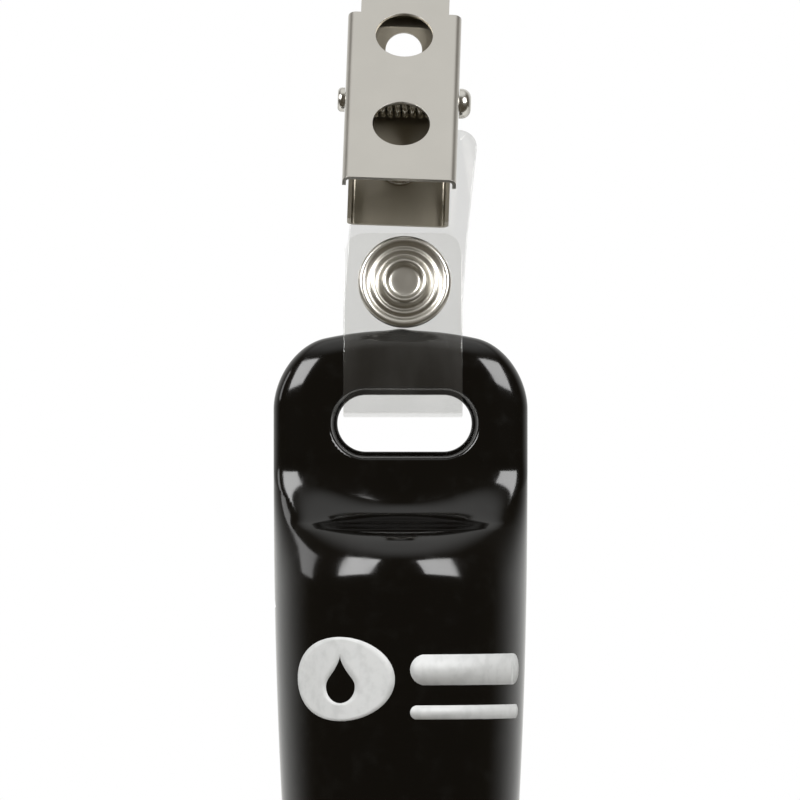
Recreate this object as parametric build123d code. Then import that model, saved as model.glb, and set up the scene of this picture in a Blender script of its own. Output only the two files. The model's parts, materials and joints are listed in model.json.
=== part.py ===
from build123d import *

import math
import os

# Bottle holder sleeve hung by a clear snap strap from a two-lever spring clip.
# Millimetres. +X is across the holder, +Y points to its back, +Z is up.
# The origin is the grip point between the clip's jaws, from which everything hangs.

# ---- driving dimensions -------------------------------------------------

# Clip: two stamped levers on one pin. Depths are measured from the pin's axis.
SHEET = 0.42
CLIP_LEAN = 2.0
FRONT_TILT = 40.0
FRONT_WIDTH = 12.1
FRONT_DEPTH = 2.45
FRONT_PRESS_END = -12.9
FRONT_FLANGE_END = 10.4
FRONT_FLANGE_HEM = 1.4
FRONT_EAR_RADIUS = 2.2
FINGER_HOLE_RADIUS = 3.05
FINGER_HOLES = (7.3, -5.2)
BEND_RADIUS = 0.8
JAW_BEND_RADIUS = 0.4
TONGUE_OVERLAP = 1.0
JAW_WIDTH = 9.4
JAW_BEND = (14.2, 2.24)
FRONT_TIP = (14.75, 1.08)
BACK_KNEE = (12.2, -0.75)
BACK_HEEL = (14.15, -0.75)
BACK_TIP = (14.75, 0.92)

BACK_TILT = 18.0
BACK_WIDTH = 10.8
BACK_DEPTH = 2.7
BACK_PRESS_END = -13.1
BACK_FLANGE_END = 5.0
BACK_TONGUE_ROOT = 9.2
BACK_FLANGE_HEM = 2.1
BACK_EAR_RADIUS = 1.85
SIGHT_HOLE = 6.7
SIGHT_HOLE_RADIUS = 1.95
RIVET_PLACE = -6.5

PIN_RADIUS = 0.85
PIN_CLEARANCE = 0.05
PIN_HEAD_RADIUS = 1.6
PIN_HEAD_LENGTH = 1.25
PIN_HEAD_DOME = 1.0
PIN_TAIL_RADIUS = 1.3
PIN_TAIL_LENGTH = 0.75
PIN_TAIL_DOME = 0.45

WIRE_RADIUS = 0.36
COIL_RADIUS = 1.42
COIL_PITCH = 0.8
COIL_WHOLE_TURNS = 10
FRONT_LEG_SPLAY = 1.5
BACK_LEG_SPLAY = 2.6
SPRING_LEG = 6.0

RIVET_RADIUS = 1.2
RIVET_HEAD_RADIUS = 2.25
RIVET_HEAD_HEIGHT = 0.7
RIVET_HEAD_DOME = 0.49
RIVET_TAIL_RADIUS = 1.9
RIVET_TAIL_HEIGHT = 0.5
RIVET_TAIL_DOME = 0.3
WASHER_RADIUS = 2.9
WASHER_THICKNESS = 0.4
RIVET_PLAY = 0.06

# Strap: one strip of clear vinyl, folded round the top bar of the tab.
# Heights are measured down from the pin's axis.
STRAP_WIDTH = 12.65
STRAP_THICKNESS = 0.4
STRAP_CORNER = 2.2
STRAP_CENTRE = 0.1
STRAP_LEAN = 5.6
LEVER_GAP = 0.12
LEG_ABOVE_PIN = -1.5
LEG_PAST_LEVER = 0.2
STRAP_TOP = 3.7
FRONT_LEG_TOP = 14.05
SNAP_DROP = 19.34
SNAP_TILT = 10.0
SNAP_OFFSET = 0.27
LEG_SPACING = 3.35
REAR_BEND_DROP = 22.8
FRONT_BEND_DROP = 23.87
BAR_SIDE_DROP = 26.2
FOLD_DROP = 33.2
FOLD_RADIUS = 1.2
FLAP_HINGE_DROP = 32.0
FLAP_GAP = 0.25
LOOP_HALF_WIDTH = 3.17
REAR_LEG_TO_TAB = 2.12

# Snap fastener: radii and heights along its own axis.
CAP_RIM_RADIUS = 4.55
CAP_RIM_WIRE = 0.48
CAP_BEAD_RADIUS = 3.65
CAP_BEAD_WIRE = 0.3
CAP_PLATE = 0.4
POST_BASE_RADIUS = 2.9
POST_TOP_RADIUS = 2.3
POST_HEIGHT = 1.45
POST_RECESS_RADIUS = 1.75
POST_RECESS_DEPTH = 0.5
BARREL_RADIUS = 1.5
SOCKET_RADIUS = 4.2
SOCKET_CAVITY_RADIUS = 3.4
SOCKET_HEIGHT = 2.0
SOCKET_PLATE = 0.4
SOCKET_LIP = 0.3
SOCKET_MOUTH_RADIUS = 1.95
STUD_FLANGE_RADIUS = 3.4
STUD_NECK_RADIUS = 1.2
STUD_HEAD_RADIUS = 1.65
STUD_HEAD_HEIGHT = 0.6
STUD_HEIGHT = 1.85
REAR_CAP_RADIUS = 2.6
REAR_CAP_HEIGHT = 0.6
REAR_CAP_DOME = 0.42
REAR_BARREL_RADIUS = 1.0
RING_WIRE = 0.17
RING_HALF_GAP = 1.5
RING_LENGTH = 5.4

# Holder: a flat slotted tab that swells through a shoulder into a round sleeve.
# Heights are measured down from the tab's crown.
CROWN_DROP = 24.35
HOLDER_CENTRE = -0.15
TAB_THICKNESS = 5.2
TAB_CORNER = 5.5
TAB_CROWN_RADIUS = 38.0
TAB_EDGE = 2.2
TAB_HALF_WIDTH = 13.5
SLOT_DROP = 9.9
SLOT_LENGTH = 14.24
SLOT_HEIGHT = 6.0
SLOT_LIP = 1.0
SLOT_OFFSET = 0.42
SHOULDER_DROP = 16.7
SHOULDER_INNER_RADIUS = 3.2
SHOULDER_OUTER_RADIUS = 5.8
SHOULDER_ANGLE = 72.0
HOLDER_HEIGHT = 55.4
SLEEVE_WIDEST_DROP = 12.6
SLEEVE_RADIUS = 13.5
SLEEVE_MIDDLE_DROP = 36.6
SLEEVE_MIDDLE_RADIUS = 13.18
MOUTH_RADIUS = 12.3
MOUTH_TAPER = 0.12
MOUTH_ROUNDING = 0.35
BORE_RADIUS = 11.5
BORE_LENGTH = 26.0
BORE_CROWN = 3.0
BORE_CROWN_ROUNDING = 2.7

# Cutters reach this far past what they cut.
OUTSIDE = 20.0
MARGIN = 1.0


# ---- reference frames ---------------------------------------------------


def lever_plane(tilt):
    """Side view of a lever: x runs along it towards the jaws, y towards its front."""
    angle = math.radians(tilt)
    return Plane(origin=(0, 0, 0), x_dir=(0, math.sin(angle), math.cos(angle)), z_dir=(1, 0, 0))


FRONT_SIDE = lever_plane(FRONT_TILT)
BACK_SIDE = lever_plane(BACK_TILT)
GRIP = FRONT_SIDE.from_local_coords(Vector(FRONT_TIP[0], (FRONT_TIP[1] + BACK_TIP[1]) / 2, 0))
CLIP_PLACE = Rot(0, CLIP_LEAN, 0) * Pos(-GRIP)
PIVOT = (CLIP_PLACE * Pos(0, 0, 0)).position

# Side view of the strap and holder: x is depth, y is height, from the pin's axis.
HANGING_SIDE = Plane(origin=(0, PIVOT.Y, PIVOT.Z), x_dir=(0, 1, 0), z_dir=(1, 0, 0))
HANGING_FRONT = Plane(origin=PIVOT, x_dir=(1, 0, 0), z_dir=(0, -1, 0))


def lever_point(along, depth):
    """A point on the back lever's side view, as depth and height from the pin."""
    angle = math.radians(BACK_TILT)
    return (
        along * math.sin(angle) - depth * math.cos(angle),
        along * math.cos(angle) + depth * math.sin(angle),
    )


def slab(sketch, half_width):
    """The side view sketch as a solid, half_width to each side of the middle."""
    return extrude(sketch, half_width, both=True)


# ---- clip ---------------------------------------------------------------


def bent_prism(sketch, half_width, face, bend):
    """A side view sketch as a solid whose two long edges on the face side are rounded."""
    prism = slab(sketch, half_width)
    long_edges = prism.edges().filter_by(Axis.X).group_by(Axis.Y)
    return fillet(long_edges[-1 if face > 0 else 0], bend)


def channel(width, face, hem, ear_radius, press_end, flange_end):
    """A U section lever in its side view: a flat face and two flanges with ears at the pin."""
    inward = -1 if face > 0 else 1
    middle = (press_end + flange_end) / 2
    blank = Pos(middle, face + inward * hem / 2) * Rectangle(flange_end - press_end, hem)
    outline = make_hull([*blank.edges(), *Circle(ear_radius).edges()])
    room = Pos(middle, face + inward * (SHEET + OUTSIDE / 2)) * Rectangle(2 * OUTSIDE, OUTSIDE)
    shell = bent_prism(outline, width / 2, face, BEND_RADIUS)
    return shell - bent_prism(room, width / 2 - SHEET, face, BEND_RADIUS - SHEET)


def tongue(points):
    """The narrow end of a lever that is bent into a jaw, in the front lever's side view."""
    line = FilletPolyline(*points, radius=JAW_BEND_RADIUS)
    return FRONT_SIDE.location * slab(trace(line, SHEET), JAW_WIDTH / 2)


def hole_through(side, along, radius, face):
    """A round cutter square to the lever's face."""
    return side.location * Pos(along, face, 0) * Rot(90, 0, 0) * Cylinder(radius, 2 * MARGIN)


def cross_cylinder(radius, start, end):
    """A cylinder along the pin's axis, from start to end."""
    return Pos((start + end) / 2, 0, 0) * Rot(0, 90, 0) * Cylinder(radius, end - start)


def front_lever():
    lever = FRONT_SIDE.location * channel(
        FRONT_WIDTH, FRONT_DEPTH, FRONT_FLANGE_HEM, FRONT_EAR_RADIUS, FRONT_PRESS_END, FRONT_FLANGE_END
    )
    root = (FRONT_FLANGE_END - TONGUE_OVERLAP, FRONT_DEPTH - SHEET / 2)
    lever += tongue([root, JAW_BEND, FRONT_TIP])
    for along in FINGER_HOLES:
        lever -= hole_through(FRONT_SIDE, along, FINGER_HOLE_RADIUS, FRONT_DEPTH)
    return lever - cross_cylinder(PIN_RADIUS + PIN_CLEARANCE, -FRONT_WIDTH, FRONT_WIDTH)


def back_lever():
    lever = BACK_SIDE.location * channel(
        BACK_WIDTH, -BACK_DEPTH, BACK_FLANGE_HEM, BACK_EAR_RADIUS, BACK_PRESS_END, BACK_FLANGE_END
    )
    middle = SHEET / 2 - BACK_DEPTH
    path = [
        FRONT_SIDE.to_local_coords(BACK_SIDE.from_local_coords(Vector(along, middle, 0)))
        for along in (BACK_FLANGE_END - TONGUE_OVERLAP, BACK_TONGUE_ROOT)
    ]
    lever += tongue([*((point.X, point.Y) for point in path), BACK_KNEE, BACK_HEEL, BACK_TIP])
    lever -= hole_through(BACK_SIDE, SIGHT_HOLE, SIGHT_HOLE_RADIUS, -BACK_DEPTH)
    lever -= hole_through(BACK_SIDE, RIVET_PLACE, RIVET_RADIUS, -BACK_DEPTH)
    return lever - cross_cylinder(PIN_RADIUS, -BACK_WIDTH, BACK_WIDTH)


def pivot_pin():
    """A plain pin with a domed head at +X and a smaller clinched tail at -X."""
    seat = FRONT_WIDTH / 2 + PIN_CLEARANCE
    head = cross_cylinder(PIN_HEAD_RADIUS, seat, seat + PIN_HEAD_LENGTH)
    head = fillet(head.edges().group_by(Axis.X)[-1], PIN_HEAD_DOME)
    tail = cross_cylinder(PIN_TAIL_RADIUS, -seat - PIN_TAIL_LENGTH, -seat)
    tail = fillet(tail.edges().group_by(Axis.X)[0], PIN_TAIL_DOME)
    return cross_cylinder(PIN_RADIUS, -seat, seat) + head + tail


def torsion_spring():
    """A close coil round the pin, with one leg resting on each lever."""
    start_angle = BACK_LEG_SPLAY - BACK_TILT
    end_angle = 180 - FRONT_TILT - FRONT_LEG_SPLAY
    turns = COIL_WHOLE_TURNS + (end_angle - start_angle) / 360
    length = turns * COIL_PITCH
    coil = Helix(COIL_PITCH, length, COIL_RADIUS)
    start_leg = Line(coil @ 0, coil @ 0 - (coil % 0) * SPRING_LEG)
    end_leg = Line(coil @ 1, coil @ 1 + (coil % 1) * SPRING_LEG)
    path = Wire([start_leg, coil, end_leg])
    section = Plane(origin=path @ 0, z_dir=path % 0) * Circle(WIRE_RADIUS)
    spring = sweep(section, path=path, is_frenet=True)
    angle = math.radians(start_angle)
    seat = Plane(
        origin=(-length / 2, 0, 0),
        x_dir=(0, math.cos(angle), math.sin(angle)),
        z_dir=(1, 0, 0),
    )
    return seat.location * spring


def rivet_axis(depth):
    """The rivet's own frame: z points out of the lever's back, from depth behind the pin."""
    middle = BACK_SIDE.from_local_coords(Vector(RIVET_PLACE, -depth, 0))
    return Plane(origin=middle, x_dir=(1, 0, 0), z_dir=-BACK_SIDE.y_dir)


def standing_cylinder(radius, low, high):
    return Pos(0, 0, (low + high) / 2) * Cylinder(radius, high - low)


WASHER_SEAT = BACK_DEPTH + LEVER_GAP + STRAP_THICKNESS + RIVET_PLAY


def strap_rivet():
    inside = BACK_DEPTH - SHEET
    tail_seat = WASHER_SEAT + WASHER_THICKNESS
    head = standing_cylinder(RIVET_HEAD_RADIUS, inside - RIVET_HEAD_HEIGHT, inside)
    head = fillet(head.edges().group_by(Axis.Z)[0], RIVET_HEAD_DOME)
    tail = standing_cylinder(RIVET_TAIL_RADIUS, tail_seat, tail_seat + RIVET_TAIL_HEIGHT)
    tail = fillet(tail.edges().group_by(Axis.Z)[-1], RIVET_TAIL_DOME)
    shank = standing_cylinder(RIVET_RADIUS, inside, tail_seat)
    return rivet_axis(0).location * (head + shank + tail)


def rivet_washer():
    ring = standing_cylinder(WASHER_RADIUS, WASHER_SEAT, WASHER_SEAT + WASHER_THICKNESS)
    ring -= standing_cylinder(RIVET_RADIUS, WASHER_SEAT - MARGIN, WASHER_SEAT + WASHER_THICKNESS + MARGIN)
    return rivet_axis(0).location * ring


# ---- strap --------------------------------------------------------------

TILT = math.radians(SNAP_TILT)
LEVER_LINE = -(BACK_DEPTH + LEVER_GAP + STRAP_THICKNESS / 2)
LEVER_TOP = lever_point(LEG_ABOVE_PIN, LEVER_LINE)
LEVER_FOOT = lever_point(BACK_PRESS_END - LEG_PAST_LEVER, LEVER_LINE)
REAR_SNAP_DROP = SNAP_DROP + LEG_SPACING * math.sin(TILT)
REAR_SNAP_DEPTH = LEVER_FOOT[0] - (LEVER_FOOT[1] + REAR_SNAP_DROP) * math.tan(TILT)
FRONT_SNAP_DEPTH = REAR_SNAP_DEPTH - LEG_SPACING * math.cos(TILT)


def leg_depth(drop, snap_depth, snap_drop):
    """Depth of a tilted leg's middle at a drop below the pin."""
    return snap_depth - (drop - snap_drop) * math.tan(TILT)


TAB_DEPTH = leg_depth(SNAP_DROP, REAR_SNAP_DEPTH, REAR_SNAP_DROP) - REAR_LEG_TO_TAB


def rear_leg_path():
    """The long leg from its loose top end, down the lever, behind the tab and round the fold."""
    back = TAB_DEPTH + LOOP_HALF_WIDTH
    front = TAB_DEPTH - LOOP_HALF_WIDTH
    points = [
        LEVER_TOP,
        LEVER_FOOT,
        (leg_depth(REAR_BEND_DROP, REAR_SNAP_DEPTH, REAR_SNAP_DROP), -REAR_BEND_DROP),
        (back, -BAR_SIDE_DROP),
        (back, -FOLD_DROP),
        (front, -FOLD_DROP),
        (front, -FLAP_HINGE_DROP),
    ]
    radii = [FOLD_RADIUS] * 5
    return FilletPolyline(*points, radius=radii)


def front_leg_path():
    front = TAB_DEPTH - LOOP_HALF_WIDTH
    points = [
        (front, -FLAP_HINGE_DROP + FLAP_GAP),
        (front, -BAR_SIDE_DROP),
        (leg_depth(FRONT_BEND_DROP, FRONT_SNAP_DEPTH, SNAP_DROP), -FRONT_BEND_DROP),
        (leg_depth(FRONT_LEG_TOP - MARGIN, FRONT_SNAP_DEPTH, SNAP_DROP), MARGIN - FRONT_LEG_TOP),
    ]
    return FilletPolyline(*points, radius=FOLD_RADIUS)


def strap_outline(top, lean):
    """Front view of a strap leg: straight below the snap, leaning above it, round at the top."""
    lower_height = OUTSIDE
    lower = Pos(STRAP_CENTRE, -SNAP_DROP - lower_height / 2) * Rectangle(STRAP_WIDTH, lower_height)
    upper_height = SNAP_DROP - top + STRAP_WIDTH / 2
    upper = Pos(0, upper_height / 2 - STRAP_WIDTH / 2) * Rectangle(STRAP_WIDTH, upper_height)
    upper = fillet(upper.vertices().sort_by(Axis.Y)[-2:], STRAP_CORNER)
    return lower + Pos(STRAP_CENTRE, -SNAP_DROP) * Rot(0, 0, -lean) * upper


def strap_leg(path, top, lean):
    sheet = HANGING_SIDE.location * slab(trace(path, STRAP_THICKNESS), OUTSIDE)
    return sheet & extrude(HANGING_FRONT * strap_outline(top, lean), 2 * OUTSIDE, both=True)


def snap_axis():
    """The snap's own frame: z points to the front, from the front face of the front leg."""
    forward = Vector(0, -math.cos(TILT), math.sin(TILT))
    middle = PIVOT + Vector(SNAP_OFFSET, FRONT_SNAP_DEPTH, -SNAP_DROP) + forward * (STRAP_THICKNESS / 2)
    return Plane(origin=middle, x_dir=(1, 0, 0), z_dir=forward).location


SNAP = snap_axis()
SOCKET_SEAT = -STRAP_THICKNESS
REAR_LEG_FRONT = -LEG_SPACING
REAR_LEG_BACK = -LEG_SPACING - STRAP_THICKNESS


def strap_rear_leg():
    leg = strap_leg(rear_leg_path(), STRAP_TOP, STRAP_LEAN)
    leg -= SNAP * standing_cylinder(REAR_BARREL_RADIUS, REAR_LEG_BACK - MARGIN, REAR_LEG_FRONT + MARGIN)
    rivet_hole = rivet_axis(0).location * standing_cylinder(RIVET_RADIUS + RIVET_PLAY, 0, OUTSIDE)
    return leg - CLIP_PLACE * rivet_hole


def strap_front_leg():
    leg = strap_leg(front_leg_path(), FRONT_LEG_TOP, 0)
    return leg - SNAP * standing_cylinder(BARREL_RADIUS, SOCKET_SEAT - MARGIN, MARGIN)


# ---- snap fastener ------------------------------------------------------


def snap_front_cap():
    """The ringed face of the snap: a rolled rim, an inner bead and a hollow centre post."""
    cap = standing_cylinder(CAP_RIM_RADIUS, 0, CAP_PLATE)
    cap += Pos(0, 0, CAP_RIM_WIRE) * Torus(CAP_RIM_RADIUS, CAP_RIM_WIRE)
    cap += Pos(0, 0, CAP_PLATE + CAP_BEAD_WIRE / 2) * Torus(CAP_BEAD_RADIUS, CAP_BEAD_WIRE)
    post_height = POST_HEIGHT - CAP_PLATE
    cap += Pos(0, 0, CAP_PLATE + post_height / 2) * Cone(POST_BASE_RADIUS, POST_TOP_RADIUS, post_height)
    cap -= standing_cylinder(POST_RECESS_RADIUS, POST_HEIGHT - POST_RECESS_DEPTH, POST_HEIGHT + MARGIN)
    cap += standing_cylinder(BARREL_RADIUS, SOCKET_SEAT - SOCKET_PLATE, 0)
    return SNAP * cap


def snap_socket():
    """A cup whose lip holds the ring wire and lets the stud in from behind."""
    back = SOCKET_SEAT - SOCKET_HEIGHT
    cup = standing_cylinder(SOCKET_RADIUS, back, SOCKET_SEAT)
    cup = fillet(cup.edges().group_by(Axis.Z)[0], SOCKET_LIP)
    cup -= standing_cylinder(SOCKET_CAVITY_RADIUS, back + SOCKET_LIP, SOCKET_SEAT - SOCKET_PLATE)
    cup -= standing_cylinder(SOCKET_MOUTH_RADIUS, back - MARGIN, back + MARGIN)
    cup -= standing_cylinder(BARREL_RADIUS, SOCKET_SEAT - MARGIN, SOCKET_SEAT + MARGIN)
    return SNAP * cup


RING_HEIGHT = SOCKET_SEAT - SOCKET_HEIGHT + SOCKET_LIP + RING_WIRE


def snap_socket_spring():
    """A wire racetrack whose two long sides close behind the stud's head."""
    track = SlotOverall(RING_LENGTH, 2 * RING_HALF_GAP).wire()
    section = Plane(origin=track @ 0, z_dir=track % 0) * Circle(RING_WIRE)
    ring = sweep(section, path=track)
    return SNAP * Pos(0, 0, RING_HEIGHT) * ring


def snap_stud():
    top = REAR_LEG_FRONT + STUD_HEIGHT + SOCKET_PLATE
    stud = standing_cylinder(STUD_FLANGE_RADIUS, REAR_LEG_FRONT, REAR_LEG_FRONT + SOCKET_PLATE)
    stud += standing_cylinder(STUD_NECK_RADIUS, REAR_LEG_FRONT, top)
    head = standing_cylinder(STUD_HEAD_RADIUS, top - STUD_HEAD_HEIGHT, top)
    stud += fillet(head.edges().group_by(Axis.Z)[-1], STUD_HEAD_HEIGHT / 2)
    return SNAP * stud


def snap_rear_cap():
    cap = standing_cylinder(REAR_CAP_RADIUS, REAR_LEG_BACK - REAR_CAP_HEIGHT, REAR_LEG_BACK)
    cap = fillet(cap.edges().group_by(Axis.Z)[0], REAR_CAP_DOME)
    return SNAP * (cap + standing_cylinder(REAR_BARREL_RADIUS, REAR_LEG_BACK, REAR_LEG_FRONT))


# ---- holder -------------------------------------------------------------

CROWN = PIVOT + Vector(HOLDER_CENTRE, TAB_DEPTH, -CROWN_DROP)
HOLDER_FRONT = Plane(origin=CROWN, x_dir=(1, 0, 0), z_dir=(0, -1, 0))
HOLDER_SIDE = Plane(origin=CROWN, x_dir=(0, 1, 0), z_dir=(1, 0, 0))
HOLDER_AXIS = Axis(CROWN, (0, 0, 1))


def sleeve_profile():
    """Half of the round body's section, from the axis out to the tapering wall."""
    wall = Spline(
        (SLEEVE_RADIUS, -SLEEVE_WIDEST_DROP),
        (SLEEVE_MIDDLE_RADIUS, -SLEEVE_MIDDLE_DROP),
        (MOUTH_RADIUS, -HOLDER_HEIGHT),
        tangents=((0, -1), (-MOUTH_TAPER, -1)),
    )
    rest = Polyline(
        (MOUTH_RADIUS, -HOLDER_HEIGHT),
        (0, -HOLDER_HEIGHT),
        (0, 0),
        (SLEEVE_RADIUS, 0),
        (SLEEVE_RADIUS, -SLEEVE_WIDEST_DROP),
    )
    return make_face([*wall.edges(), *rest.edges()])


def shoulder_profile():
    """Side view of the tab's flat faces running out through the shoulder curves."""
    half = TAB_THICKNESS / 2
    slope = math.radians(SHOULDER_ANGLE)
    turned = (SHOULDER_INNER_RADIUS + SHOULDER_OUTER_RADIUS) * (1 - math.cos(slope))
    straight = (SLEEVE_RADIUS - half - turned) / math.sin(slope)
    inner_run = SHOULDER_INNER_RADIUS * math.tan(slope / 2)
    outer_run = SHOULDER_OUTER_RADIUS * math.tan(slope / 2)
    knee_drop = SHOULDER_DROP + inner_run
    sloped = inner_run + straight + outer_run
    heel = (half + sloped * math.sin(slope), -knee_drop - sloped * math.cos(slope))
    side = FilletPolyline(
        (half, 0),
        (half, -knee_drop),
        heel,
        (heel[0], -HOLDER_HEIGHT),
        radius=(SHOULDER_INNER_RADIUS, SHOULDER_OUTER_RADIUS),
    )
    closing = Polyline((heel[0], -HOLDER_HEIGHT), (0, -HOLDER_HEIGHT), (0, 0), (half, 0))
    face = make_face([*side.edges(), *closing.edges()])
    return face + mirror(face, Plane.YZ)


def tab_plate():
    """The tab with its arched crown, round corners and rolled edges."""
    height = SHOULDER_DROP + SHOULDER_INNER_RADIUS
    sheet = Pos(0, -height / 2) * Rectangle(2 * TAB_HALF_WIDTH, height)
    sheet &= Pos(0, -TAB_CROWN_RADIUS) * Circle(TAB_CROWN_RADIUS)
    sheet = fillet(sheet.vertices().sort_by(Axis.Y)[-2:], TAB_CORNER)
    plate = extrude(HOLDER_FRONT * sheet, TAB_THICKNESS / 2, both=True)
    faces = plate.faces().filter_by(Axis.Y)
    edges = [e for e in faces.edges() if e.center().Z > CROWN.Z - height + MARGIN]
    return fillet(edges, TAB_EDGE)


def cut_slot(body):
    """Cuts the strap's slot and rolls its lip over on both faces."""
    centre = CROWN + Vector(SLOT_OFFSET, 0, -SLOT_DROP)
    stadium = Pos(SLOT_OFFSET, -SLOT_DROP) * SlotOverall(SLOT_LENGTH, SLOT_HEIGHT)
    body -= extrude(HOLDER_FRONT * stadium, TAB_THICKNESS, both=True)
    rim = [
        edge
        for edge in body.edges()
        if (edge.center() - centre).length < SLOT_LENGTH / 2 and abs(edge.tangent_at(0.5).Y) < 0.5
    ]
    return fillet(rim, SLOT_LIP)


def bottle_bore():
    """The round pocket for the bottle, with a domed inner end."""
    straight = standing_cylinder(BORE_RADIUS, -MARGIN, BORE_LENGTH)
    dome = standing_cylinder(BORE_RADIUS, BORE_LENGTH - MARGIN, BORE_LENGTH + BORE_CROWN)
    dome = fillet(dome.edges().group_by(Axis.Z)[-1], BORE_CROWN_ROUNDING)
    return Pos(CROWN) * Pos(0, 0, -HOLDER_HEIGHT) * (straight + dome)


def holder_sleeve():
    round_body = revolve(HOLDER_FRONT * sleeve_profile(), HOLDER_AXIS)
    lower = round_body & extrude(HOLDER_SIDE * shoulder_profile(), OUTSIDE, both=True)
    room = Box(2 * OUTSIDE, 2 * OUTSIDE, HOLDER_HEIGHT)
    below_tab = Pos(CROWN) * Pos(0, 0, -SHOULDER_DROP - HOLDER_HEIGHT / 2) * room
    body = cut_slot(tab_plate() + (lower & below_tab)) - bottle_bore()
    mouth = body.edges().group_by(Axis.Z)[0]
    return fillet(mouth, MOUTH_ROUNDING)


# ---- write one file per piece -------------------------------------------

CLIP_PIECES = {
    "front_lever": front_lever,
    "back_lever": back_lever,
    "pivot_pin": pivot_pin,
    "torsion_spring": torsion_spring,
    "strap_rivet": strap_rivet,
    "rivet_washer": rivet_washer,
}
HANGING_PIECES = {
    "strap_rear_leg": strap_rear_leg,
    "strap_front_leg": strap_front_leg,
    "snap_front_cap": snap_front_cap,
    "snap_socket": snap_socket,
    "snap_socket_spring": snap_socket_spring,
    "snap_stud": snap_stud,
    "snap_rear_cap": snap_rear_cap,
    "holder_sleeve": holder_sleeve,
}

os.makedirs("parts", exist_ok=True)
for name, make in CLIP_PIECES.items():
    export_step(CLIP_PLACE * make(), f"parts/{name}.step")
for name, make in HANGING_PIECES.items():
    export_step(make(), f"parts/{name}.step")
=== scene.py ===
"""Bottle holder sleeve on a clear snap strap and a nickel spring clip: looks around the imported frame."""
import json
import math

import bmesh
import bpy
import numpy as np
from mathutils import Matrix, Vector


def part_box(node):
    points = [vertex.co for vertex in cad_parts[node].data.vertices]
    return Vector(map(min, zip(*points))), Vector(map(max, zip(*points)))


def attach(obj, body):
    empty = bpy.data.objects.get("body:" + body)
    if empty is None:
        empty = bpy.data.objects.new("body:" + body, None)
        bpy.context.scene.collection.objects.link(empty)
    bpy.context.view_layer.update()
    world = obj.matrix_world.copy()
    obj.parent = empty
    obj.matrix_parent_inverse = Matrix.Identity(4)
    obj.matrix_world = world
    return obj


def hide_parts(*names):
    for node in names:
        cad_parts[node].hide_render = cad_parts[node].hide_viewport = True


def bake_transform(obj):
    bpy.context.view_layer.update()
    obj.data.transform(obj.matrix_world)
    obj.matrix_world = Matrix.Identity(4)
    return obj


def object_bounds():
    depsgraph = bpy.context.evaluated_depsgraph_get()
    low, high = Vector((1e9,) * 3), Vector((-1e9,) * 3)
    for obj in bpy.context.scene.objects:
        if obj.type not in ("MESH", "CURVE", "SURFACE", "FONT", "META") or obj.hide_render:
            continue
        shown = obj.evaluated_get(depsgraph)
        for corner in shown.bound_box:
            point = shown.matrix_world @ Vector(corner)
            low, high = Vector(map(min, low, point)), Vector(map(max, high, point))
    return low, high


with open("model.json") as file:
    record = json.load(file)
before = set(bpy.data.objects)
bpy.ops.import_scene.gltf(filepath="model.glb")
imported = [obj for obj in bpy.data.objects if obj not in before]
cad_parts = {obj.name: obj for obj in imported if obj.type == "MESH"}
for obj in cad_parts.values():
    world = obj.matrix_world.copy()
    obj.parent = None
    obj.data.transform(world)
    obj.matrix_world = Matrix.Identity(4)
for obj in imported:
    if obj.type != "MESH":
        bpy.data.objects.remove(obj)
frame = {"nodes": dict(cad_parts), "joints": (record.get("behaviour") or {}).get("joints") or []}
cad_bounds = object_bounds()
nodes = frame["nodes"]

MM = 0.001
MERGE = 0.001 * MM

# Sleeve, in millimetres. Drops are measured down from the tab's crown.
TAB_HALF_THICKNESS = 2.6
TAB_CORNER = 5.5
TAB_ARCH = 38.0
TAB_CROWNING = 5.0
TAB_CROWNED_WIDTH = 3.8
EDGE_ROLL = 0.8
SHOULDER_END = 26.4
SHOULDER_HOLLOW = 3.6
SHOULDER_ROUND = 5.4
SHOULDER_SLOPE = math.radians(80)
SHOULDER_START = (13.0, 20.5)
SIDE_SWELL = (14.0, 27.4)
SIDE_START = 12.4
SHOULDER_SPAN = (18.0, 27.0)
OVAL_POWER = (2.35, 2.0)
SLEEVE_RADIUS = 13.5
SLEEVE_WIDEST = 12.6
SLEEVE_TAPER = (4.29e-4, 5.3e-6)
SLOT_DROP = 9.9
SLOT_LENGTH = 14.24
SLOT_HEIGHT = 6.0
SLOT_OFFSET = 0.42
SLOT_LIP = 0.4
SLOT_WEB = (0.4, 1.5)
SLOT_WEB_WIDTH = 0.65
BORE_RADIUS = 11.5
BORE_LENGTH = 26.0
BORE_CROWN = 3.0
MOUTH_ROLL = 0.35
GATE_HEIGHT = 0.16
GATE_WIDTH = 0.9
SLEEVE_GRID = 0.3
SETTLE_ROUNDS = 8
SETTLE_STEP = 0.3
LEAST_SLOPE = 0.05
SLOPE_STEP = 0.01

# Printed mark on the sleeve's front: arc lengths from the middle, drops from the crown.
OVAL_CENTRE = (-6.7, 36.9)
OVAL_HALF = (6.1, 4.45)
DROPLET_RADIUS = 1.75
DROPLET_POINT = 3.3
DROPLET_DROP = 0.8
BARS = ((8.7, 35.9, 15.4, 3.3), (8.7, 40.4, 15.4, 1.5))
INK_THICKNESS = 0.02
OVAL_SIDES = 72
OVAL_RINGS = 5
BAR_SIDES = 32
BAR_CUTS = 28

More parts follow.
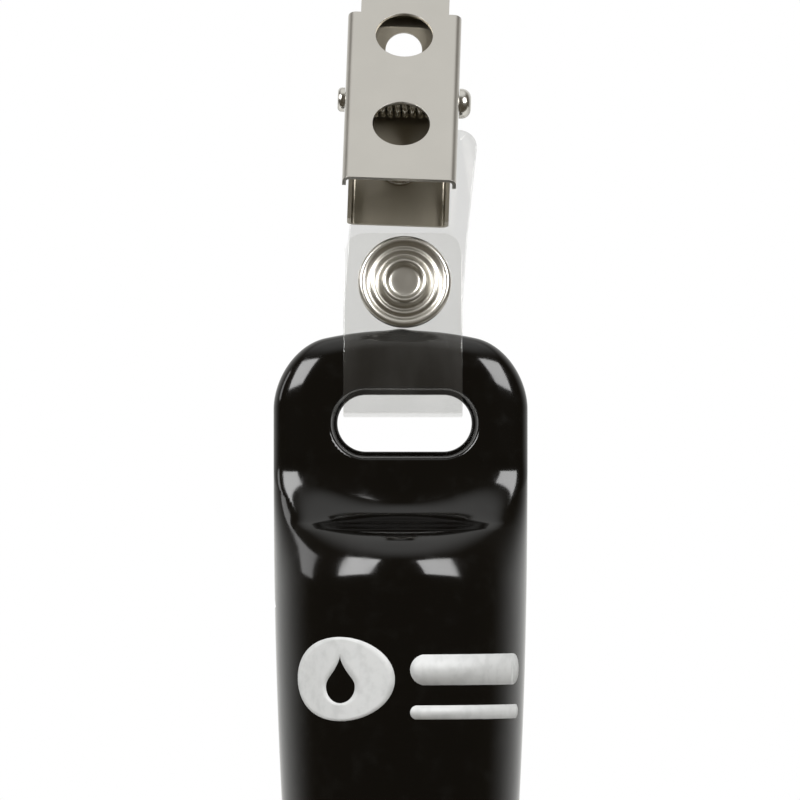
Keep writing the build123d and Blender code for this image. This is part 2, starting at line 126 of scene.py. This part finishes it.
# Strap, in millimetres: its side view as depth from the pin's axis and height above it.
STRAP_HALF_WIDTH = 6.325
STRAP_THICKNESS = 0.4
STRAP_CORNER = 2.2
STRAP_RIM = 0.12
STRAP_LEAN = math.radians(6.2)
STRAP_CENTRE = 0.1
LEAN_DROP = 19.34
LEAN_START = 3.0
STRAP_MIDDLE = -4.37
FOLD_ROUND = 0.8
STRAP_SIDE = (
    (-4.722, -14.05),
    (-6.453, -23.87),
    (-7.543, -26.2),
    (-7.543, -31.6),
    (-6.1, -33.4),
    (-2.7, -33.4),
    (-1.203, -31.6),
    (-1.203, -26.2),
    (-2.863, -22.8),
    (-1.238, -13.58),
    (2.2, -3.0),
)

# Snap cap: its seat on the strap and the half section of its pressed rings.
SNAP_SEAT = (-0.1468, -14.5667, -31.2399)
SNAP_TILT = math.radians(10)
CAP_SECTION = (
    (0.0, 0.8),
    (1.2, 0.8),
    (1.6, 0.82),
    (1.78, 1.0),
    (1.92, 1.32),
    (2.15, 1.42),
    (2.4, 1.3),
    (2.62, 0.8),
    (2.84, 0.5),
    (3.05, 0.5),
    (3.3, 0.74),
    (3.52, 0.74),
    (3.72, 0.5),
    (3.9, 0.48),
    (4.15, 0.74),
    (4.5, 0.9),
    (4.8, 0.76),
    (5.0, 0.42),
    (4.92, 0.12),
    (4.6, 0.02),
    (0.0, 0.02),
)
CAP_STEPS = 96

LEVER_EASE = 0.07

# Studio.
FIELD = 85.0 * MM
LENS = 800.0
SENSOR = 36.0
VIEW_CENTRE = (-0.63 * MM, -43.71 * MM)
FLOOR_DROP = 110.0 * MM
FLOOR_SIZE = (1.4, 1.2)
FLOOR_BACK = 0.54
LIGHT_TARGET_DROP = 0.01
SOFTBOXES = (
    # name, direction, distance in metres, size in metres, watts
    ("left softbox", (-0.635, -0.609, 0.475), 0.5, (0.26, 0.26), 2.1),
    ("right softbox", (0.586, -0.674, 0.452), 0.5, (0.28, 0.26), 2.1),
    ("far left softbox", (-0.96, 0.08, 0.33), 0.6, (0.14, 0.25), 0.3),
)

crown_low, crown_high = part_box("holder_sleeve")
CROWN = Vector(((crown_low.x + crown_high.x) / 2, (crown_low.y + crown_high.y) / 2, crown_high.z))
JOINT_PLACE = {joint["name"]: Vector(joint["pos_m"]) for joint in frame["joints"]}
PIN = JOINT_PLACE["clip_open"]


# ---- finishes ----------------------------------------------------------------


class Reading:
    """A number that changes over a surface. Arithmetic on it adds Math nodes."""

    def __init__(self, finish, socket):
        self.finish = finish
        self.socket = socket

    def combine(self, operation, first, second):
        node = self.finish.node("ShaderNodeMath", {"operation": operation}, {0: first, 1: second})
        return Reading(self.finish, node.outputs[0])

    def __add__(self, other):
        return self.combine("ADD", self, other)

    def __sub__(self, other):
        return self.combine("SUBTRACT", self, other)

    def __mul__(self, other):
        return self.combine("MULTIPLY", self, other)

    def __rsub__(self, other):
        return self.combine("SUBTRACT", other, self)

    __radd__ = __add__
    __rmul__ = __mul__


class Nodes:
    """The nodes of a material or of the world."""

    def __init__(self, owner, place):
        owner.use_nodes = True
        self.tree = owner.node_tree
        self.tree.nodes.clear()
        self.place = self.node("ShaderNodeTexCoord").outputs[place]

    def node(self, kind, settings=None, values=None):
        """Adds a node, makes its settings, then fills or links its inputs."""
        node = self.tree.nodes.new(kind)
        for name, value in (settings or {}).items():
            if name == "stops":
                self.set_stops(node.color_ramp, value)
            else:
                setattr(node, name, value)
        for name, value in (values or {}).items():
            source = value.socket if isinstance(value, Reading) else value
            if isinstance(source, bpy.types.NodeSocket):
                self.tree.links.new(source, node.inputs[name])
            else:
                node.inputs[name].default_value = source
        return node

    def set_stops(self, ramp, stops):
        ramp.interpolation = "EASE"
        for element, (position, shade) in zip(ramp.elements, stops):
            element.position = position
            element.color = (shade, shade, shade, 1)

    def noise(self, scale, detail=2, stretch=(1, 1, 1), roughness=0.5):
        """Soft blotches, scale of them to a metre, drawn out where stretch is small."""
        place = self.node("ShaderNodeMapping", None, {"Vector": self.place, "Scale": stretch})
        node = self.node(
            "ShaderNodeTexNoise",
            None,
            {"Vector": place.outputs[0], "Scale": scale, "Detail": detail, "Roughness": roughness},
        )
        return Reading(self, node.outputs[0])

    def steps(self, reading, low, high):
        """0 below low, 1 above high, eased between."""
        node = self.node("ShaderNodeValToRGB", {"stops": ((low, 0), (high, 1))}, {0: reading})
        return Reading(self, node.outputs[0])

    def mix_colour(self, share, first, second):
        node = self.node("ShaderNodeMix", {"data_type": "RGBA"}, {0: share, 6: first, 7: second})
        return node.outputs[2]

    def mix_shader(self, share, first, second):
        return self.node("ShaderNodeMixShader", None, {0: share, 1: first.outputs[0], 2: second.outputs[0]})

    def bump(self, height, distance, strength=1.0):
        node = self.node(
            "ShaderNodeBump", None, {"Height": height, "Distance": distance, "Strength": strength}
        )
        return node.outputs[0]


class Finish(Nodes):
    """A material and the nodes that it is built from."""

    def __init__(self, name):
        self.material = bpy.data.materials.new(name)
        super().__init__(self.material, "Object")

    def finish(self, shader):
        output = self.node("ShaderNodeOutputMaterial")
        self.tree.links.new(shader.outputs[0], output.inputs["Surface"])
        return self.material


def colour(red, green, blue):
    return (red, green, blue, 1)


def black_vinyl():
    """Dipped black vinyl: deep gloss, a slow ripple and faint rubbed places."""
    f = Finish("black vinyl")
    rubbed = f.steps(f.noise(420, 4), 0.5, 0.75)
    ripple = f.noise(170, 2) + f.noise(2600, 3) * 0.03
    shade = f.mix_colour(rubbed, colour(0.0022, 0.0018, 0.0014), colour(0.0038, 0.0035, 0.003))
    shader = f.node(
        "ShaderNodeBsdfPrincipled",
        None,
        {
            "Base Color": shade,
            "Roughness": rubbed * 0.06 + 0.11,
            "IOR": 1.5,
            "Normal": f.bump(ripple, 0.0001, 0.35),
        },
    )
    return f.finish(shader)


def clear_vinyl(name, tint):
    """Clear vinyl sheet: it dims what is behind it a little and shines at a slant."""
    f = Finish(name)
    haze = f.steps(f.noise(260, 3, (1, 1, 0.35)), 0.35, 0.8)
    wave = f.bump(f.noise(90, 1) + f.noise(900, 2) * 0.05, 0.0004, 0.5)
    through = f.node("ShaderNodeBsdfTransparent", None, {"Color": colour(*tint)})
    shine = f.node(
        "ShaderNodeBsdfAnisotropic", None, {"Color": colour(1, 1, 1), "Roughness": 0.07, "Normal": wave}
    )
    cloud = f.node(
        "ShaderNodeBsdfPrincipled",
        None,
        {"Base Color": colour(0.42, 0.42, 0.41), "Roughness": 0.3, "Normal": wave},
    )
    weight = f.node("ShaderNodeLayerWeight", None, {"Blend": 0.5, "Normal": wave})
    facing = Reading(f, weight.outputs["Facing"])
    slant = facing * facing * facing * facing * facing * 0.7 + 0.04
    sheet = f.mix_shader(slant, through, shine)
    return f.finish(f.mix_shader(haze * 0.02 + 0.012, sheet, cloud))


def nickel(name, tone, roughness, streak, scale=2600, patches=0.05):
    """Plated steel: fine drawn streaks, cloudy plating and small pits."""
    f = Finish(name)
    lines = f.noise(scale, 3, streak)
    cloud = f.noise(240, 4)
    pits = f.steps(f.noise(1900, 2), 0.66, 0.78)
    worn = f.mix_colour(cloud, colour(*(part * 0.9 for part in tone)), colour(*tone))
    shader = f.node(
        "ShaderNodeBsdfPrincipled",
        None,
        {
            "Base Color": worn,
            "Metallic": 1.0,
            "Roughness": lines * 0.05 + cloud * patches + pits * 0.03 + roughness,
            "Normal": f.bump(lines - pits * 0.5, 0.000004, 0.2),
        },
    )
    return f.finish(shader)


def white_ink():
    """Screened white ink with a slight mesh grain."""
    f = Finish("white ink")
    grain = f.noise(3200, 3)
    thin = f.steps(f.noise(900, 4), 0.3, 0.6)
    shader = f.node(
        "ShaderNodeBsdfPrincipled",
        None,
        {
            "Base Color": f.mix_colour(thin, colour(0.56, 0.57, 0.57), colour(0.63, 0.64, 0.64)),
            "Roughness": grain * 0.15 + 0.4,
            "Normal": f.bump(grain, 0.00001, 0.4),
        },
    )
    return f.finish(shader)


def floor_paper():
    f = Finish("pale floor")
    shader = f.node(
        "ShaderNodeBsdfPrincipled",
        None,
        {
            "Base Color": f.mix_colour(f.noise(14, 2), colour(0.86, 0.86, 0.85), colour(0.88, 0.88, 0.87)),
            "Roughness": 0.8,
        },
    )
    return f.finish(shader)


# ---- mesh helpers --------------------------------------------------------------


def new_piece(name, bm, material, smooth=True):
    mesh = bpy.data.meshes.new(name)
    bm.to_mesh(mesh)
    bm.free()
    mesh.materials.append(material)
    for face in mesh.polygons:
        face.use_smooth = smooth
    piece = bpy.data.objects.new(name, mesh)
    bpy.context.scene.collection.objects.link(piece)
    return piece


def round_off(bm, parts, offset, segments, affect="EDGES"):
    bmesh.ops.bevel(
        bm, geom=parts, offset=offset, segments=segments, profile=0.5, affect=affect, material=-1
    )


def merged_copy(node):
    """A copy of a CAD node's mesh, with its loose triangles joined up."""
    bm = bmesh.new()
    bm.from_mesh(nodes[node].data)
    bmesh.ops.remove_doubles(bm, verts=bm.verts, dist=MERGE)
    return bm


# ---- sleeve --------------------------------------------------------------------


def rounded_meet(first, second, radius):
    """Where two bodies' distances meet in an edge, rolls the edge over at this radius."""
    a = first + radius
    b = second + radius
    return np.hypot(np.maximum(a, 0), np.maximum(b, 0)) + np.minimum(np.maximum(a, b), 0) - radius


def sleeve_radius(drop):
    below = np.maximum(drop - SLEEVE_WIDEST, 0)
    return SLEEVE_RADIUS - SLEEVE_TAPER[0] * below**2 - SLEEVE_TAPER[1] * below**3


def half_depth(drop):
    """Half thickness of the tab and of the shoulder that swells out to the round sleeve below."""
    round_out = -SHOULDER_ROUND * (1 - math.cos(SHOULDER_SLOPE))
    round_start = SHOULDER_END - SHOULDER_ROUND * math.sin(SHOULDER_SLOPE)
    hollow_out = TAB_HALF_THICKNESS - SLEEVE_RADIUS + SHOULDER_HOLLOW * (1 - math.cos(SHOULDER_SLOPE))
    hollow_end = round_start - (round_out - hollow_out) / math.tan(SHOULDER_SLOPE)
    hollow_start = hollow_end - SHOULDER_HOLLOW * math.sin(SHOULDER_SLOPE)
    hollow = np.clip(drop - hollow_start, 0, hollow_end - hollow_start)
    depth = TAB_HALF_THICKNESS + SHOULDER_HOLLOW - np.sqrt(SHOULDER_HOLLOW**2 - hollow**2)
    sloped = np.clip(drop - hollow_end, 0, round_start - hollow_end)
    curved = np.clip(drop, round_start, SHOULDER_END) - SHOULDER_END
    arc = np.sqrt(SHOULDER_ROUND**2 - curved**2) - SHOULDER_ROUND * math.cos(SHOULDER_SLOPE)
    return depth + sloped * math.tan(SHOULDER_SLOPE) + arc + sleeve_radius(drop) - SLEEVE_RADIUS


def ease(value, low, high):
    """0 below low, 1 above high and an S curve between."""
    share = np.clip((value - low) / (high - low), 0, 1)
    return share * share * (3 - 2 * share)


def shoulder_depth(x, drop):
    """Half thickness at x from the middle: the shoulder is short in front and long at the sides."""
    share = ease(np.abs(x), 0, SIDE_START)
    side = TAB_HALF_THICKNESS + (sleeve_radius(drop) - TAB_HALF_THICKNESS) * ease(drop, *SIDE_SWELL)
    return half_depth(drop) * (1 - share) + side * share


def oval_distance(x, y, drop):
    """Distance along the radius from the oval section that the shoulder has at this drop."""
    corner = OVAL_POWER[0] + (OVAL_POWER[1] - OVAL_POWER[0]) * ease(drop, *SHOULDER_SPAN)
    wide = (np.abs(x) / sleeve_radius(drop)) ** corner
    deep = (np.abs(y) / shoulder_depth(x, drop)) ** corner
    beyond = (wide + deep) ** (1 / corner)
    return np.hypot(x, y) * (1 - 1 / np.maximum(beyond, 0.05))


def sleeve_distance(points):
    """Distance in millimetres from the sleeve's surface, negative inside its wall."""
    x = points[:, 0] - CROWN.x / MM
    y = points[:, 1] - CROWN.y / MM
    drop = CROWN.z / MM - points[:, 2]
    out = np.hypot(x, y)
    gate = GATE_HEIGHT * np.exp(-((x / GATE_WIDTH) ** 2))
    arch = np.hypot(x, drop - TAB_ARCH) - TAB_ARCH - gate
    sides = rounded_meet(out - sleeve_radius(drop), arch, TAB_CORNER)
    swell = ease(drop, *SHOULDER_START)
    crowned = np.clip(sides + TAB_CROWNED_WIDTH, 0, TAB_CROWNED_WIDTH)
    crowning = TAB_CROWNING - np.sqrt(TAB_CROWNING**2 - crowned**2)
    tab = rounded_meet(sides, np.abs(y) - shoulder_depth(x, drop) + crowning, EDGE_ROLL)
    oval = oval_distance(x, y, drop)
    body = tab * (1 - swell) + oval * swell
    height = (crown_high.z - crown_low.z) / MM
    body = rounded_meet(body, drop - height, MOUTH_ROLL)
    across = np.maximum(np.abs(x - SLOT_OFFSET) - (SLOT_LENGTH - SLOT_HEIGHT) / 2, 0)
    flare = SLOT_WEB_WIDTH * ease(np.abs(y), *SLOT_WEB)
    slot = np.hypot(across, drop - SLOT_DROP) - SLOT_HEIGHT / 2 - flare
    body = rounded_meet(body, -slot, SLOT_LIP)
    above = np.maximum(height - BORE_LENGTH - drop, 0) / BORE_CROWN
    bore = (np.hypot(out / BORE_RADIUS, above) - 1) * np.where(above > 0, BORE_CROWN, BORE_RADIUS)
    return rounded_meet(body, -bore, MOUTH_ROLL)


def sleeve_slope(points):
    """The distance's gradient: the way out of the surface at each point."""
    slope = np.empty_like(points)
    for axis in range(3):
        shift = np.zeros(3)
        shift[axis] = SLOPE_STEP
        rise = sleeve_distance(points + shift) - sleeve_distance(points - shift)
        slope[:, axis] = rise / (2 * SLOPE_STEP)
    return slope


def make_sleeve(material):
    """An even grid over the CAD sleeve, settled on to the smooth surface of sleeve_distance."""
    bm = merged_copy("holder_sleeve")
    rough = new_piece("rough_sleeve", bm, material)
    grid = rough.modifiers.new("even grid", "REMESH")
    grid.mode = "VOXEL"
    grid.voxel_size = SLEEVE_GRID * MM
    graph = bpy.context.evaluated_depsgraph_get()
    mesh = bpy.data.meshes.new_from_object(rough.evaluated_get(graph))
    bpy.data.objects.remove(rough)
    points = np.empty(len(mesh.vertices) * 3)
    mesh.vertices.foreach_get("co", points)
    points = points.reshape(-1, 3) / MM
    for _ in range(SETTLE_ROUNDS):
        slope = sleeve_slope(points)
        length = np.maximum((slope**2).sum(1), LEAST_SLOPE)
        move = sleeve_distance(points) / length
        points -= np.clip(move, -SETTLE_STEP, SETTLE_STEP)[:, None] * slope
    normals = sleeve_slope(points)
    normals /= np.linalg.norm(normals, axis=1)[:, None]
    mesh.vertices.foreach_set("co", (points * MM).ravel())
    mesh.materials.clear()
    mesh.materials.append(material)
    mesh.polygons.foreach_set("use_smooth", [True] * len(mesh.polygons))
    mesh.update()
    mesh.normals_split_custom_set_from_vertices(normals.tolist())
    mesh.name = "sleeve"
    piece = bpy.data.objects.new("sleeve", mesh)
    bpy.context.scene.collection.objects.link(piece)
    return piece


# ---- print ---------------------------------------------------------------------


def wrap_on_sleeve(bm):
    """Takes a flat shape, x along the arc and y as drop, and lays it on the sleeve's front."""
    for vert in bm.verts:
        radius = float(sleeve_radius(np.array(vert.co.y))) + vert.co.z
        turn = vert.co.x / radius
        vert.co = CROWN + Vector((radius * math.sin(turn), -radius * math.cos(turn), -vert.co.y)) * MM


def print_piece(name, bm, material):
    """Wraps a flat shape on the sleeve and gives it the thickness of ink."""
    for vert in bm.verts:
        vert.co.z += INK_THICKNESS / 2
    wrap_on_sleeve(bm)
    bmesh.ops.recalc_face_normals(bm, faces=bm.faces)
    piece = new_piece(name, bm, material)
    wall = piece.modifiers.new("ink thickness", "SOLIDIFY")
    wall.thickness = INK_THICKNESS * MM
    wall.offset = 0
    return piece


def oval_badge(material):
    """An oval of ink with a plain droplet left open in it."""
    bm = bmesh.new()
    outer = bmesh.ops.create_circle(bm, segments=OVAL_SIDES, radius=1)["verts"]
    inner = bmesh.ops.create_circle(bm, segments=OVAL_SIDES, radius=DROPLET_RADIUS)["verts"]
    centre = Vector((OVAL_CENTRE[0], OVAL_CENTRE[1], 0))
    for vert in outer:
        vert.co = centre + Vector((vert.co.x * OVAL_HALF[0], vert.co.y * OVAL_HALF[1], 0))
    for vert in inner:
        up = max(-vert.co.y / DROPLET_RADIUS, 0)
        narrow = 1 - up**3
        rise = up**4 * (DROPLET_POINT - DROPLET_RADIUS)
        vert.co = centre + Vector((vert.co.x * narrow, vert.co.y - rise + DROPLET_DROP, 0))
    loops = list(bm.edges)
    bmesh.ops.bridge_loops(bm, edges=loops)
    radial = [edge for edge in bm.edges if edge not in loops]
    bmesh.ops.subdivide_edges(bm, edges=radial, cuts=OVAL_RINGS, use_grid_fill=True)
    return print_piece("print_oval", bm, material)


def bar_print(name, bar, material):
    """A bar of ink with round ends, cut across so that it can bend round the sleeve."""
    along, drop, length, height = bar
    bm = bmesh.new()
    bmesh.ops.create_circle(bm, cap_ends=True, segments=BAR_SIDES, radius=height / 2)
    shift = (length - height) / 2
    for vert in bm.verts:
        vert.co.x += math.copysign(shift, vert.co.x)
    bmesh.ops.translate(bm, verts=bm.verts, vec=(along, drop, 0))
    for cut in range(1, BAR_CUTS):
        place = along - length / 2 + length * cut / BAR_CUTS
        whole = list(bm.verts) + list(bm.edges) + list(bm.faces)
        bmesh.ops.bisect_plane(bm, geom=whole, plane_co=(place, 0, 0), plane_no=(1, 0, 0))
    return print_piece(name, bm, material)


# ---- strap ---------------------------------------------------------------------


def make_strap(front, rear):
    """One strip of sheet from the front leg's top, round the tab's bar and up behind the clip."""
    bm = bmesh.new()
    half = STRAP_HALF_WIDTH
    start = [bm.verts.new((-half, depth, height)) for depth, height in STRAP_SIDE]
    line = [bm.edges.new(pair) for pair in zip(start, start[1:])]
    made = bmesh.ops.extrude_edge_only(bm, edges=line)["geom"]
    moved = [part for part in made if isinstance(part, bmesh.types.BMVert)]
    bmesh.ops.translate(bm, verts=moved, vec=(2 * half, 0, 0))
    bm.verts.ensure_lookup_table()
    ends = [vert for vert in bm.verts if len(vert.link_edges) == 2]
    round_off(bm, ends, STRAP_CORNER, 8, "VERTICES")
    folds = [
        edge
        for edge in bm.edges
        if len(edge.link_faces) == 2 and abs(edge.verts[0].co.x - edge.verts[1].co.x) > half
    ]
    round_off(bm, folds, FOLD_ROUND, 6)
    for vert in bm.verts:
        behind = vert.co.y > STRAP_MIDDLE and vert.co.z > -LEAN_DROP - LEAN_START
        if behind:
            vert.co.x += math.tan(STRAP_LEAN) * max(vert.co.z + LEAN_DROP, 0)
    bmesh.ops.recalc_face_normals(bm, faces=bm.faces)
    for vert in bm.verts:
        vert.co += vert.normal * STRAP_THICKNESS / 2
    bmesh.ops.solidify(bm, geom=bm.faces, thickness=STRAP_THICKNESS)
    for vert in bm.verts:
        vert.co = PIN + Vector((vert.co.x + STRAP_CENTRE, vert.co.y, vert.co.z)) * MM
    bmesh.ops.recalc_face_normals(bm, faces=bm.faces)
    rims = [edge for edge in bm.edges if edge.calc_face_angle(0) > math.radians(60)]
    round_off(bm, rims, STRAP_RIM * MM, 3)
    strap = new_piece("strap_strip", bm, front)
    strap.data.materials.append(rear)
    for face in strap.data.polygons:
        if face.center.y > PIN.y + STRAP_MIDDLE * MM:
            face.material_index = 1
    strap.data.set_sharp_from_angle(angle=math.radians(40))
    return strap


# ---- snap and clip --------------------------------------------------------------


def make_snap_cap(material):
    """The snap's pressed cap, spun from its half section and set on the strap's slant."""
    bm = bmesh.new()
    verts = [bm.verts.new((radius * MM, 0, height * MM)) for radius, height in CAP_SECTION]
    edges = [bm.edges.new(pair) for pair in zip(verts, verts[1:])]
    bmesh.ops.spin(
        bm,
        geom=verts + edges,
        cent=(0, 0, 0),
        axis=(0, 0, 1),
        angle=2 * math.pi,
        steps=CAP_STEPS,
        use_merge=True,
    )
    bmesh.ops.remove_doubles(bm, verts=bm.verts, dist=MERGE)
    bmesh.ops.recalc_face_normals(bm, faces=bm.faces)
    turn = Matrix.Rotation(math.pi / 2 - SNAP_TILT, 4, "X")
    bm.transform(Matrix.Translation(Vector(SNAP_SEAT) * MM) @ turn)
    cap = new_piece("snap_cap_pressing", bm, material)
    rounds = cap.modifiers.new("pressed rounds", "SUBSURF")
    rounds.levels = 1
    rounds.render_levels = 1
    return cap


def eased_lever(node, name, material):
    """The stamped lever with its sheared edges eased, so that they catch the light."""
    bm = merged_copy(node)
    bmesh.ops.dissolve_limit(bm, angle_limit=math.radians(0.6), verts=bm.verts, edges=bm.edges)
    lever = new_piece(name, bm, material)
    bevel = lever.modifiers.new("eased edges", "BEVEL")
    bevel.width = LEVER_EASE * MM
    bevel.segments = 2
    bevel.limit_method = "ANGLE"
    bevel.angle_limit = math.radians(38)
    even = lever.modifiers.new("flat faces stay flat", "WEIGHTED_NORMAL")
    even.keep_sharp = True
    return lever


# ---- studio --------------------------------------------------------------------


def make_floor(material):
    bm = bmesh.new()
    bmesh.ops.create_grid(bm, x_segments=8, y_segments=8, size=0.5)
    bmesh.ops.scale(bm, vec=(*FLOOR_SIZE, 1), verts=bm.verts)
    bmesh.ops.translate(bm, vec=(0, FLOOR_BACK, cad_bounds[0][2] - FLOOR_DROP), verts=bm.verts)
    floor = new_piece("floor", bm, material)


def make_world():
    """White behind, a pale ceiling, and dim and warm on the camera's side, as in a small studio."""
    world = bpy.data.worlds.new("studio")
    bpy.context.scene.world = world
    f = Nodes(world, "Generated")
    split = f.node("ShaderNodeSeparateXYZ", None, {0: f.place})
    behind = f.steps(Reading(f, split.outputs["Y"]) * 0.5 + 0.5, 0.5, 0.97)
    ceiling = f.steps(Reading(f, split.outputs["Z"]), 0.7, 0.96)
    pale = f.node("ShaderNodeMath", {"operation": "MAXIMUM"}, {0: behind, 1: ceiling}).outputs[0]
    room = f.mix_colour(pale, colour(0.085, 0.072, 0.052), colour(0.95, 0.95, 0.93))
    camera_ray = f.node("ShaderNodeLightPath").outputs["Is Camera Ray"]
    seen = f.mix_colour(camera_ray, room, colour(1, 1, 1))
    background = f.node("ShaderNodeBackground", None, {0: seen})
    f.node("ShaderNodeOutputWorld", None, {0: background.outputs[0]})


def softbox(name, direction, distance, size, power):
    light = bpy.data.lights.new(name, "AREA")
    light.shape = "RECTANGLE"
    light.size, light.size_y = size
    light.energy = power
    lamp = bpy.data.objects.new(name, light)
    bpy.context.scene.collection.objects.link(lamp)
    aim = Vector(direction).normalized()
    middle = CROWN - Vector((0, 0, LIGHT_TARGET_DROP))
    lamp.location = middle + aim * distance
    lamp.rotation_euler = aim.to_track_quat("Z", "Y").to_euler()


def make_camera():
    data = bpy.data.cameras.new("camera")
    data.lens = LENS
    data.sensor_width = SENSOR
    data.clip_start = 0.01
    camera = bpy.data.objects.new("camera", data)
    bpy.context.scene.collection.objects.link(camera)
    distance = FIELD * LENS / SENSOR
    camera.location = (VIEW_CENTRE[0], CROWN.y - distance, VIEW_CENTRE[1])
    camera.rotation_euler = (math.pi / 2, 0, 0)
    bpy.context.scene.camera = camera


# ---- assembly ------------------------------------------------------------------

vinyl = black_vinyl()
ink = white_ink()
clear = clear_vinyl("clear vinyl", (0.985, 0.985, 0.98))
aged = clear_vinyl("aged clear vinyl", (0.875, 0.875, 0.87))
satin = nickel("satin nickel", (0.6, 0.58, 0.54), 0.27, (1, 1, 0.05))
bright = nickel("bright nickel", (0.66, 0.64, 0.6), 0.17, (1, 1, 1), 1800, 0.04)
# Painted shade: the back lever gets a darker, warmer copy of the nickel that stands in for the shade inside
# the back lever
shaded_nickel = nickel("nickel with painted shade", (0.36, 0.33, 0.27), 0.3, (1, 1, 0.05))
pressed = nickel("pressed nickel", (0.6, 0.58, 0.53), 0.25, (1, 1, 1), 1800, 0.04)
wire = nickel("spring wire", (0.62, 0.6, 0.54), 0.16, (0.2, 1, 1), 3000)

sleeve = make_sleeve(vinyl)
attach(sleeve, "holder")
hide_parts("holder_sleeve")
marks = [oval_badge(ink)]
marks += [bar_print(f"print_bar_{i + 1}", bar, ink) for i, bar in enumerate(BARS)]
for mark in marks:
    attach(mark, "holder")

strap = make_strap(clear, aged)
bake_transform(strap)
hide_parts("strap_rear_leg", "strap_front_leg")

cap = make_snap_cap(pressed)
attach(cap, "strap_flap")
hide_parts("snap_front_cap")

for node, name, body, metal in (
    ("front_lever", "front_lever_stamping", "clip_front", satin),
    # the back lever takes the nickel copy with painted shade
    ("back_lever", "back_lever_stamping", "clip_back", shaded_nickel),
):
    lever = eased_lever(node, name, metal)
    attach(lever, body)
    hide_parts(node)

kept_metal = {
    "pivot_pin": bright,
    "strap_rivet": bright,
    "rivet_washer": bright,
    "snap_stud": bright,
    "snap_rear_cap": bright,
    "snap_socket": bright,
    "torsion_spring": wire,
    "snap_socket_spring": wire,
}
for node, material in kept_metal.items():
    for place in nodes[node].material_slots:
        place.material = material

make_floor(floor_paper())
make_world()
for box in SOFTBOXES:
    softbox(*box)
make_camera()
bpy.context.scene.view_settings.view_transform = "Standard"

bpy.context.view_layer.update()
